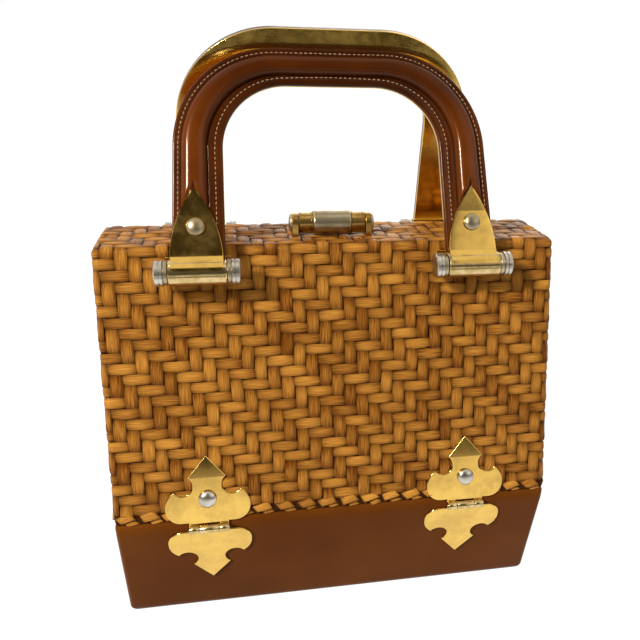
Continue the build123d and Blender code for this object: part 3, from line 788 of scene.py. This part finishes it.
# Handle brackets
# A folded brass bracket on the wicker, near its top, with two ears. A pin runs through the ears and the
# handle's barrel between them, and ends in two broad nickel heads.

handle_x = half_width - 49.8
bracket_drop = 11.4
bracket_reach = 14.0
bracket_plate = 1.5
bracket_ease = 0.4
bracket_plate_height = 13.0
barrel_length = 27.0
ear_x = barrel_length / 2 + 0.3
ear_thickness = 2.0
ear_ease = 0.35
ear_radius = 5.6
pin_head_radius = 6.2
pin_head_length = 4.4

front_axis = face_point(0.0, face_length - bracket_drop, bracket_reach)
ear_arc = np.linspace(-math.pi / 2, math.pi / 2, 15)
ear_ring = np.concatenate([
    [(-bracket_reach, -ear_radius)],
    np.stack([ear_radius * np.cos(ear_arc), ear_radius * np.sin(ear_arc)], -1),
    [(-bracket_reach, ear_radius)],
])
plate_half = ear_x + ear_thickness
plate_ring = np.array([(-plate_half, -0.5), (plate_half, -0.5), (plate_half, 0.5), (-plate_half, 0.5)])
plate_ring = plate_ring * np.array([1.0, bracket_plate_height])
head_profile = [(0.0, 0.0), (0.0, pin_head_radius - 0.5), (0.25, pin_head_radius), (1.5, pin_head_radius),
                (1.6, pin_head_radius - 0.55), (2.0, pin_head_radius - 0.55), (2.1, pin_head_radius),
                (3.7, pin_head_radius), (4.2, pin_head_radius - 0.5),
                (pin_head_length, pin_head_radius - 1.4), (pin_head_length, 0.0)]

for half, facing in half_sides.items():
    outward, upward = face_out * facing, face_up * facing
    for side_name, side in (("left", -1), ("right", 1)):
        middle = np.array([side * handle_x, 0.0, 0.0])
        foot_at = (face_point(0.0, face_length - bracket_drop, 0.0) + middle) * facing
        foot = sheared(f"{half}_{side_name}_bracket_foot", flat_sheet(plate_ring), 0.0, bracket_plate,
                       (foot_at, across, upward, outward), bracket_ease)
        fit(foot, brass, f"{half}_half", "brass", f"{half}_{side_name}_handle_bracket")
        for ear_name, start in (("inner", -ear_x - ear_thickness), ("outer", ear_x)):
            ear_at = (front_axis + middle) * facing + across * start
            ear = sheared(f"{half}_{side_name}_{ear_name}_ear", flat_sheet(ear_ring), 0.0, ear_thickness,
                          (ear_at, outward, upward, across), ear_ease)
            fit(ear, aged_nickel, f"{half}_half", "nickel")
        heads = []
        for end in (-1, 1):
            head_at = (front_axis + middle) * facing + across * end * (ear_x + ear_thickness)
            heads.append({"points": turned_part(head_profile, head_at, across * end, upward)})
        fit(skin(f"{half}_{side_name}_pin_heads", *heads, sharp=35.0), nickel, f"{half}_half", "nickel")


# Handles
# A padded roll of glossy cognac leather between two flat margins, stitched in cream thread, on a
# polished brass liner. The front one leans in over the bag and the back one rests against its top.

handle_lean = math.radians(23.0)
handle_height = 108.4
handle_bow_width = 18.0
handle_foot = 7.2
outer_foot = handle_x + 11.4
inner_foot = handle_x - 13.3
outer_splay = math.radians(2.7)
inner_splay = math.radians(1.2)
outer_radius = 50.0
inner_radius = 32.0
leather_back = 1.5
leather_front = 1.0
liner_thickness = 1.5
liner_ease = 0.4
roll_height = 3.6
back_handle_rise = 6.0
plate_tip_height = 39.5
plate_half_width = 12.0
plate_bend_height = 27.0
plate_tip_rise = 3.2
plate_thickness = 1.2
plate_rivet_height = 21.5
barrel_radius = 6.1
outer_stitch_inset = 2.5
inner_stitch_inset = 3.7
stitch_dip = 0.28
dip_width = 0.5
roll_dip = 0.35
margin_drop, margin_round = 0.5, 0.7

front_up = np.array([0.0, math.sin(handle_lean), math.cos(handle_lean)])
front_out = np.array([0.0, -math.cos(handle_lean), math.sin(handle_lean)])
back_axis = front_axis * half_sides["back"]
liner_back = leather_back + liner_thickness
touch = front_axis + front_up * handle_height - front_out * liner_back - back_axis
back_lean = math.atan2(touch[2], touch[1]) - math.acos(-(liner_back + 0.3) / math.hypot(touch[1], touch[2]))
handle_planes = {
    "front": (front_axis, across, front_up, front_out),
    "back": (back_axis, -across, np.array([0.0, -math.sin(back_lean), math.cos(back_lean)]),
             np.array([0.0, math.cos(back_lean), math.sin(back_lean)])),
}


def bow_edge(height, foot_x, splay, drop, radius):
    """One line along a handle from its right foot over the bow to its left foot.

    A splayed leg, an arc tangent to leg and bow, half the level bow, and the mirror of all that.
    """
    leg_steps, arc_steps, bow_steps = 44, 34, 16
    top = height - drop
    turn = math.pi / 2 - splay
    cut = radius * math.tan(turn / 2)
    rise = top - handle_foot
    corner = np.array([foot_x - rise * math.tan(splay), top])
    leg_end = corner + cut * np.array([math.sin(splay), -math.cos(splay)])
    leg = np.linspace((foot_x, handle_foot), leg_end, leg_steps)
    centre = np.array([corner[0] - cut, top - radius])
    first = math.atan2(leg_end[1] - centre[1], leg_end[0] - centre[0])
    angle = np.linspace(first, math.pi / 2, arc_steps)[1:]
    arc = centre + radius * np.stack([np.cos(angle), np.sin(angle)], -1)
    bow = np.stack([np.linspace(corner[0] - cut, 0, bow_steps)[1:], np.full(bow_steps - 1, top)], -1)
    right = np.concatenate([leg, arc, bow])
    return np.concatenate([right, right[-2::-1] * np.array([-1.0, 1.0])])


# Inner edge, inner and outer foot of the roll, outer edge: foot, splay, drop below the top and radius
roll_lines = (
    (inner_foot, inner_splay, handle_bow_width, inner_radius),
    (inner_foot + 7.6, inner_splay, handle_bow_width - 4.6, inner_radius + 4.6),
    (outer_foot - 4.0, outer_splay, 4.0, outer_radius - 4.0),
    (outer_foot, outer_splay, 0.0, outer_radius),
)


def plate_side(rise):
    """Half width of the pointed plate at a height, on the arc through its foot, side and tip."""
    ring = arc_through((plate_half_width, 0.0), (0.79 * plate_half_width, 0.58 * plate_tip_height),
                       (0.0, plate_tip_height), 60)
    ring = np.concatenate([ring, [(0.0, plate_tip_height)]])
    return np.interp(rise, ring[:, 1], ring[:, 0], right=0.0)


def plate_lie(rise):
    """Height of the plate's underside: a fold off the barrel, flat by the rivet, then rising to the tip."""
    fold = np.clip((rise - 1.0) / 7.0, 0, 1)
    steepness = plate_tip_rise / (plate_tip_height + 8.0 - plate_bend_height)
    bend = np.clip(rise - plate_bend_height, 0, None) * steepness
    drop = barrel_radius - plate_thickness - leather_front
    return leather_front + drop * (1 - fold * fold * (3 - 2 * fold)) + bend


# Shares of the way over a margin and over the roll at which lines run along the leather
edge_share = np.array([0.0, 0.03, 0.08, 0.2, 0.38, 0.5, 0.62, 0.74, 0.84, 0.91, 0.96])
roll_share = (1 - np.cos(np.linspace(0, math.pi, 27))) / 2


def handle_leather_points(height):
    """Leather over a whole handle in plane axes, closed underneath, as rings from foot to foot.

    Each ring runs from the inner edge over the inner margin, the padded roll and the outer margin. The
    margins dip at the stitches and at the roll's foot, and the roll is a power of a circle across its
    width. Under a plate the roll is pressed down to the plate's underside.
    """
    lines = [bow_edge(height, *line) for line in roll_lines]
    flat, high = [], []
    for start, end, share, inset in ((0, 1, edge_share, inner_stitch_inset), (1, 2, roll_share, 0),
                                     (3, 2, edge_share, outer_stitch_inset)):
        wide = np.linalg.norm(lines[end] - lines[start], axis=1)[:, None]
        spread = lines[start][:, None] + (lines[end] - lines[start])[:, None] * share[None, :, None]
        if inset:
            gap = wide * share
            level = leather_front - margin_drop * (1 - np.clip(gap / margin_round, 0, 1)) ** 2
            level = level - stitch_dip * np.exp(-((gap - inset) / dip_width) ** 2)
            level = level - roll_dip * np.exp(-((gap - wide) / dip_width) ** 2)
        else:
            bulge = (1 - np.abs(2 * share - 1) ** 2.8) ** 0.52
            level = leather_front - roll_dip + (roll_height + 0.45) * bulge
            level = np.broadcast_to(level, spread.shape[:2])
        flat.append(spread[:, ::-1] if start > end else spread)
        high.append(level[:, ::-1] if start > end else level)
    flat, high = np.concatenate(flat, 1), np.concatenate(high, 1)
    rise = flat[..., 1]
    inside = plate_side(rise) + 0.4 - np.abs(np.abs(flat[..., 0]) - handle_x)
    pressed = np.minimum(high, plate_lie(rise) - 0.12 + 2.5 * np.clip(-inside, 0, None) ** 0.8)
    high = np.where(rise < plate_tip_height + 3.0, pressed, high)
    top = np.concatenate([flat, np.maximum(high, leather_front - 0.7)[..., None]], -1)
    under = top[:, [-1, 0]] * np.array([1.0, 1.0, 0.0]) - np.array([0.0, 0.0, leather_back])
    return np.concatenate([top, under, top[:, :1]], 1)


cognac = Finish("cognac_leather", Coat_Weight=0.20, Coat_Roughness=0.12,
                Specular_IOR_Level=0.12, Specular_Tint=(1.0, 0.6, 0.4))
mottle = cognac.place.noise(38.0, 3.0)
creases = cognac.place.noise(700.0, 2.0)
# Painted shade: higher up, on the upper legs and the bow, the leather takes darker copies of its colours
painted_bow_shade = cognac.start.node("ShaderNodeSeparateXYZ", "Z", {}, {0: cognac.place}).ramp(0.262, 0.292)
# The painted light on the points adds painted shade and highlight; the mottle is the leather's own tone
shade = 0.85 * cognac.value("painted_light") + 0.5 * mottle.ramp(0.3, 0.75) - 0.25
legs = shade.mix((0.040, 0.0085, 0.0012), (0.124, 0.029, 0.0028))
cognac.set("Base Color", painted_bow_shade.mix(legs, shade.mix((0.024, 0.0055, 0.001), (0.064, 0.0140, 0.0018))))
cognac.set("Roughness", 0.20 + 0.14 * mottle)
cognac.set("Normal", (creases * 0.4 + mottle).bump(0.06, 0.0004))

thread = Finish("cream_thread", Roughness=0.7)
twist = thread.place.noise(1800.0, 2.0)
thread.set("Base Color", twist.ramp(0.3, 0.7).mix((0.22, 0.12, 0.06), (0.46, 0.30, 0.18)))
thread.set("Normal", twist.bump(0.3, 0.0003))

# One value for each line along the leather, as painted light: the margins, the underside and the feet of
# the roll are painted in shade, darker than the roll's crest
roll_painted_light = np.clip(1.3 - np.abs(np.linspace(-1, 1, len(roll_share))) ** 6, 0.3, 1.0)
margin_painted_shade, underside_lines = np.full(len(edge_share), 0.3), 3
leather_painted_light = np.concatenate([margin_painted_shade, roll_painted_light, np.full(len(edge_share) + underside_lines, 0.4)])
stitch_start = 4.0
stitch_pitch = 2.4
stitch_length = 1.65
stitch_radius = 0.28


def stitch_row(height, edge, other, inset):
    """Short thread ends at even lengths along an edge, each an ellipsoid that lies in its dip."""
    edge, other = bow_edge(height, *edge), bow_edge(height, *other)
    toward = (other - edge) / np.linalg.norm(other - edge, axis=1)[:, None]
    line = edge + toward * inset
    reached = np.concatenate([[0], np.cumsum(np.linalg.norm(np.diff(line, axis=0), axis=1))])
    at = np.arange(stitch_start, reached[-1] - stitch_start, stitch_pitch)
    spot = looked_up(at, reached, line)
    ahead = looked_up(at + 0.5, reached, line) - spot
    ahead /= np.linalg.norm(ahead, axis=1)[:, None]
    beside = np.stack([-ahead[:, 1], ahead[:, 0]], -1)
    t, a = np.meshgrid(np.linspace(0, math.pi, 7), np.linspace(0, 2 * math.pi, 9), indexing="ij")
    long = -np.cos(t) * stitch_length / 2
    wide = np.sin(t) * np.cos(a) * stitch_radius
    tall = np.sin(t) * np.sin(a) * stitch_radius * 0.9
    spot, ahead, beside = (value[:, None, None] for value in (spot, ahead, beside))
    flat = spot + long[None, ..., None] * ahead + wide[None, ..., None] * beside
    high = np.broadcast_to(leather_front - stitch_dip + 0.2 + tall, flat.shape[:3])
    return np.concatenate([flat, high[..., None]], -1)


def knuckle_plate(leg):
    """Pointed plate in plane axes: rows up the leg, columns from side to side, and its eased edge."""
    bend, tip = plate_bend_height, plate_tip_height
    rise = np.concatenate([np.linspace(0, 11, 14), np.linspace(12, bend - 0.6, 8),
                           np.linspace(bend - 0.2, bend + 0.4, 3), np.linspace(bend + 1, tip - 0.9, 12),
                           [tip - 0.4, tip - 0.1, tip]])
    share = np.array([-1, -1, -0.99, -0.975, -0.9, -0.6, -0.3, 0, 0.3, 0.6, 0.9, 0.975, 0.99, 1, 1, -1])
    eased = np.array([1.0, 0.4, 0.14, 0.03, 0, 0, 0, 0, 0, 0, 0, 0.03, 0.14, 0.4, 1.0, 1.0])
    x = leg + (plate_side(rise)[:, None] + 0.06) * share
    high = plate_lie(rise)[:, None] + plate_thickness * (1 - eased)
    return np.stack([x, np.broadcast_to(rise[:, None], x.shape), high], -1)


def barrel(leg):
    """Rolled barrel in plane axes: its radius dips in a groove where the sheet's edge comes round."""
    groove_at, groove_depth, groove_width = 5.72, 0.7, 0.05
    groove = groove_at + groove_width * np.linspace(-3.2, 3.2, 13)
    angle = np.unique(np.concatenate([np.linspace(0, 2 * math.pi, 57), groove]))
    radius = barrel_radius - groove_depth * np.exp(-((angle - groove_at) / groove_width) ** 2)
    half = barrel_length / 2
    along = np.array([-half, -half, -half + 0.4, half - 0.4, half, half])
    scale = np.array([0.0, 0.95, 1.0, 1.0, 0.95, 0.0])
    y = scale[:, None] * radius * np.cos(angle + math.pi / 2)
    z = scale[:, None] * radius * np.sin(angle + math.pi / 2)
    return np.stack([np.broadcast_to(leg + along[:, None], y.shape), y, z], -1)


for half, plane in handle_planes.items():
    body = f"{half}_handle"
    height = handle_height + (back_handle_rise if half == "back" else 0.0)
    leather_grid = placed(handle_leather_points(height), *plane)
    padding = {"points": leather_grid, "painted_light": leather_painted_light, "capped": True}
    leather = skin(f"{half}_handle_roll", padding, sharp=75.0)
    fit(leather, cognac, body, "handle_leather", f"{half}_handle_leather")
    rows = [stitch_row(height, roll_lines[3], roll_lines[2], outer_stitch_inset),
            stitch_row(height, roll_lines[0], roll_lines[1], inner_stitch_inset)]
    sewn = skin(f"{half}_handle_stitches", *[{"points": placed(row, *plane)} for row in rows])
    fit(sewn, thread, body, "handle_leather")
    ring = np.concatenate([bow_edge(height, *roll_lines[3]), bow_edge(height, *roll_lines[0])[::-1]])
    liner = sheared(f"{half}_liner", flat_sheet(ring), -liner_back, liner_thickness, plane, liner_ease)
    fit(liner, brass, body, "brass", f"{half}_handle_liner")
    sides = (("right", 1), ("left", -1)) if half == "front" else (("left", 1), ("right", -1))
    for side_name, side in sides:
        leg = side * handle_x
        plate = {"points": placed(knuckle_plate(leg), *plane), "capped": True}
        plate = skin(f"{half}_{side_name}_knuckle_plate", plate, sharp=24.0)
        fit(plate, brass, body, "brass", f"{half}_{side_name}_handle_plate")
        rolled = {"points": placed(barrel(leg), *plane)}
        rolled = skin(f"{half}_{side_name}_handle_barrel", rolled, sharp=24.0)
        fit(rolled, worn_brass, body, "brass")
        rivet_at = placed((leg, plate_rivet_height, leather_front + plate_thickness), *plane)
        head = dome_profile(rivet_radius - 0.4, rivet_rise - 0.3, 0.3)
        rivet = turned_part(head, rivet_at, plane[3], across)
        rivet = skin(f"{half}_{side_name}_handle_rivet", {"points": rivet})
        fit(rivet, aged_nickel, body, "nickel")


# Roller clasp
# A turned nickel roller between two brass tubes on an axle, held by two posts on the front half.
# Turning it drops a tooth behind the lip of a brass strike on the back half.

clasp_y = -6.2
clasp_z = body_top + 6.8
roller_radius = 6.15
roller_half = 20.4 / 2
tube_radius = 5.2
clasp_half = roller_half + 7.1
post_start = clasp_half + 0.2
post_width = 5.0
post_radius = 4.9
cap_rise = 1.6
post_thickness = post_width - cap_rise
clasp_at = np.array([0.0, clasp_y, clasp_z])
back_dir = np.array([0.0, 1.0, 0.0])

roll_ease = np.linspace(0, math.pi / 2, 6)
shoulder_arc = np.stack([1.3 * np.sin(roll_ease), -1.3 + 1.3 * np.cos(roll_ease)], -1)
right_roll = np.concatenate([
    [(0.0, roller_radius), (roller_half - 1.8, roller_radius)],
    np.array([roller_half - 1.3, roller_radius]) + shoulder_arc,
    [(roller_half, tube_radius + 0.05)],
])
roll_profile = np.concatenate([right_roll[::-1] * np.array([-1.0, 1.0]), right_roll[1:]])
roll_profile = np.concatenate([[(-roller_half, 0.0)], roll_profile, [(roller_half, 0.0)]])
roller = skin("clasp_roller_barrel", {
    "points": turned_part(roll_profile, clasp_at, across, up_dir, 48)}, sharp=40.0)
fit(roller, aged_nickel, "clasp_roller", "nickel", "clasp_roller")
tube_profile = [
    (roller_half, 0.0), (roller_half, tube_radius + 0.45), (roller_half + 0.7, tube_radius + 0.45),
    (roller_half + 0.8, tube_radius), (clasp_half - 1.5, tube_radius), (clasp_half - 1.4, tube_radius + 0.2),
    (clasp_half - 0.4, tube_radius + 0.2), (clasp_half - 0.1, tube_radius - 0.2), (clasp_half - 0.1, 0.0),
]
tubes = [{"points": turned_part(tube_profile, clasp_at, across * end, up_dir, 48)} for end in (-1, 1)]
fit(skin("clasp_tubes", *tubes, sharp=30.0), aged_brass, "clasp_roller", "brass")
finger_root, finger_reach, finger_half, finger_width = 5.0, 14.0, 1.0, 12.0
tooth_start, tooth_foot = 12.0, -2.4
finger_ring = np.array([
    (finger_root, -finger_half), (tooth_start, -finger_half), (tooth_start, tooth_foot),
    (finger_reach, tooth_foot), (finger_reach, finger_half), (finger_root, finger_half),
])
finger = sheared("clasp_finger", flat_sheet(finger_ring), -finger_width / 2, finger_width,
                 (clasp_at, back_dir, up_dir, across), 0.3)
fit(finger, brass, "clasp_roller", "brass")

post_foot = -7.8
post_arc = np.linspace(0, math.pi, 15)
post_ring = np.concatenate([
    [(-post_radius, post_foot), (post_radius, post_foot)],
    post_radius * np.stack([np.cos(post_arc), np.sin(post_arc)], -1),
])
caps = []
for end, name in ((-1, "left"), (1, "right")):
    start = post_start if end > 0 else -post_start - post_thickness
    post = sheared(f"clasp_{name}_post", flat_sheet(post_ring), start, post_thickness,
                   (clasp_at, back_dir, up_dir, across), 0.5)
    fit(post, aged_brass, "front_half", "brass", *(["clasp_bracket"] if end < 0 else []))
    cap_at = clasp_at + across * end * (post_start + post_thickness)
    cap = dome_profile(post_radius - 0.3, cap_rise, 0.2)
    caps.append({"points": turned_part(cap, cap_at, across * end, up_dir)})
fit(skin("clasp_caps", *caps), nickel, "front_half", "nickel")
foot_half = post_start + post_width
foot_ring = np.array([(-1, -1), (1, -1), (1, 1), (-1, 1)]) * np.array([foot_half, post_radius])
foot_level, foot_thickness = -1.6, 0.6
clasp_foot = sheared("clasp_foot", flat_sheet(foot_ring), foot_level, foot_thickness,
                     (np.array([0.0, clasp_y, body_top]), across, back_dir, up_dir), 0.2)
fit(clasp_foot, aged_brass, "front_half", "brass")
strike_front, strike_back, strike_width, strike_plate = 1.0, 10.0, 16.0, 0.8
lip_front, lip_back, lip_top = 3.0, 4.2, 2.5
strike_ring = np.array([
    (strike_front, 0.0), (strike_back, 0.0), (strike_back, strike_plate), (lip_back, strike_plate),
    (lip_back, lip_top), (lip_front, lip_top), (lip_front, strike_plate), (strike_front, strike_plate),
])
strike = sheared("strike", flat_sheet(strike_ring), -strike_width / 2, strike_width,
                 (np.array([0.0, 0.0, body_top]), back_dir, up_dir, across), 0.2)
fit(strike, brass, "back_half", "brass", "clasp_strike")


# Studio
# A plain pale table, soft light from the upper left with a little from the right and from behind, and
# the camera at the photograph's angle.


def rays(start):
    """1 on rays from the camera, 1 on those from gloss and 1 on those through clear pieces, else 0."""
    return [start.node("ShaderNodeLightPath", kind, {}, {}) for kind in (
        "Is Camera Ray", "Is Glossy Ray", "Is Transmission Ray")]


floor_mesh = bpy.data.meshes.new("floor")
reach, near = 6.0, -0.40
floor_corners = [(-reach, near, 0), (reach, near, 0), (reach, reach, 0), (-reach, reach, 0)]
floor_mesh.from_pydata(floor_corners, [], [(0, 1, 2, 3)])
floor = added("floor", floor_mesh)
pale = Finish("pale_floor", Roughness=0.9, Specular_IOR_Level=0.1, Emission_Strength=1.0)
paper = pale.place.noise(3.0, 2.0)
camera_ray, glossy_ray, clear_ray = rays(pale.start)
shown = camera_ray + glossy_ray + clear_ray
pale.set("Base Color", shown.mix((0.40, 0.37, 0.33), paper.mix((0.19, 0.19, 0.19), (0.21, 0.21, 0.21))))
pale.set("Emission Color", shown.mix((0.0, 0.0, 0.0), (0.93, 0.93, 0.93)))
floor.data.materials.append(pale.material)

world = bpy.data.worlds.new("studio")
bpy.context.scene.world = world
world.use_nodes = True
sky = world.node_tree.nodes["Background"]
start = Tone(sky.outputs[0])
toward = start.node("ShaderNodeTexCoord", "Generated", {}, {})
side, depth, height = (start.node("ShaderNodeSeparateXYZ", axis, {}, {0: toward}) for axis in range(3))
camera_ray, glossy_ray, clear_ray = rays(start)
# In front of the bag a dark room with a lit strip at eye level and a warm card to the right, above it a
# pale ceiling, and an even pale wall behind it
front = 1.0 - depth.ramp(-0.10, 0.40)
strip = height.ramp(-0.34, -0.27) * (1.0 - height.ramp(-0.14, -0.03))
card = side.ramp(0.20, 0.30) * height.ramp(0.20, 0.34)
lit_front = (front * (1.0 - strip) * (1.0 - 0.9 * card)).mix((0.98, 0.93, 0.84), (0.030, 0.025, 0.016))
wall = (glossy_ray + clear_ray).mix((0.42, 0.41, 0.40), (1.0, 1.0, 1.0))
room = (1.0 - front).mix(lit_front, wall)
room = height.ramp(0.78, 0.92).mix(room, (0.98, 0.92, 0.82))
start.plug(sky.inputs["Color"], camera_ray.mix(room, (1.0, 1.0, 1.0)))
sky.inputs["Strength"].default_value = 1.0


def soft_lamp(name, place, target, size, power, colour):
    """A square lamp at a place, turned to face a target, in metres."""
    lamp = bpy.data.lights.new(name, "AREA")
    lamp.size = size
    lamp.energy = power
    lamp.color = colour
    holder = added(name, lamp)
    away = np.array(place) - np.array(target)
    holder.location = place
    flat = math.hypot(away[0], away[1])
    holder.rotation_euler = (math.atan2(flat, away[2]), 0.0, math.atan2(away[0], -away[1]))


soft_lamp("key_lamp", (-0.87, -0.80, 0.94), (0.0, 0.0, 0.14), 0.20, 24.0, (1.0, 0.95, 0.86))
soft_lamp("fill_lamp", (0.9, -0.8, 0.6), (0.0, 0.0, 0.12), 0.8, 1.0, (1.0, 0.97, 0.93))
soft_lamp("back_lamp", (0.55, 1.25, 0.55), (0.0, 0.0, 0.12), 1.0, 5.0, (1.0, 0.86, 0.66))

yaw, pitch, roll = math.radians(11.99), math.radians(21.83), math.radians(-1.80)
right = np.array([math.cos(yaw), -math.sin(yaw), 0.0])
ahead = np.array([math.sin(yaw) * math.cos(pitch), math.cos(yaw) * math.cos(pitch), -math.sin(pitch)])
down = np.cross(ahead, right)
right_rolled = math.cos(roll) * right + math.sin(roll) * down
down_rolled = -math.sin(roll) * right + math.cos(roll) * down
lens = bpy.data.cameras.new("camera")
image_size, focal_pixels = 640.0, 741.59
lens.sensor_width = 36.0
lens.lens = focal_pixels * lens.sensor_width / image_size
lens.shift_x = -62.56 / image_size
lens.shift_y = 14.9 / image_size
camera = added("camera", lens)
turned = np.eye(4)
turned[:3, 0], turned[:3, 1], turned[:3, 2] = right_rolled, -down_rolled, -ahead
camera_at = np.array([-51.46, -386.72, 308.87])
turned[:3, 3] = camera_at * 0.001
camera.matrix_world = Matrix(turned.tolist())
bpy.context.scene.camera = camera
bpy.context.scene.view_settings.view_transform = "Standard"
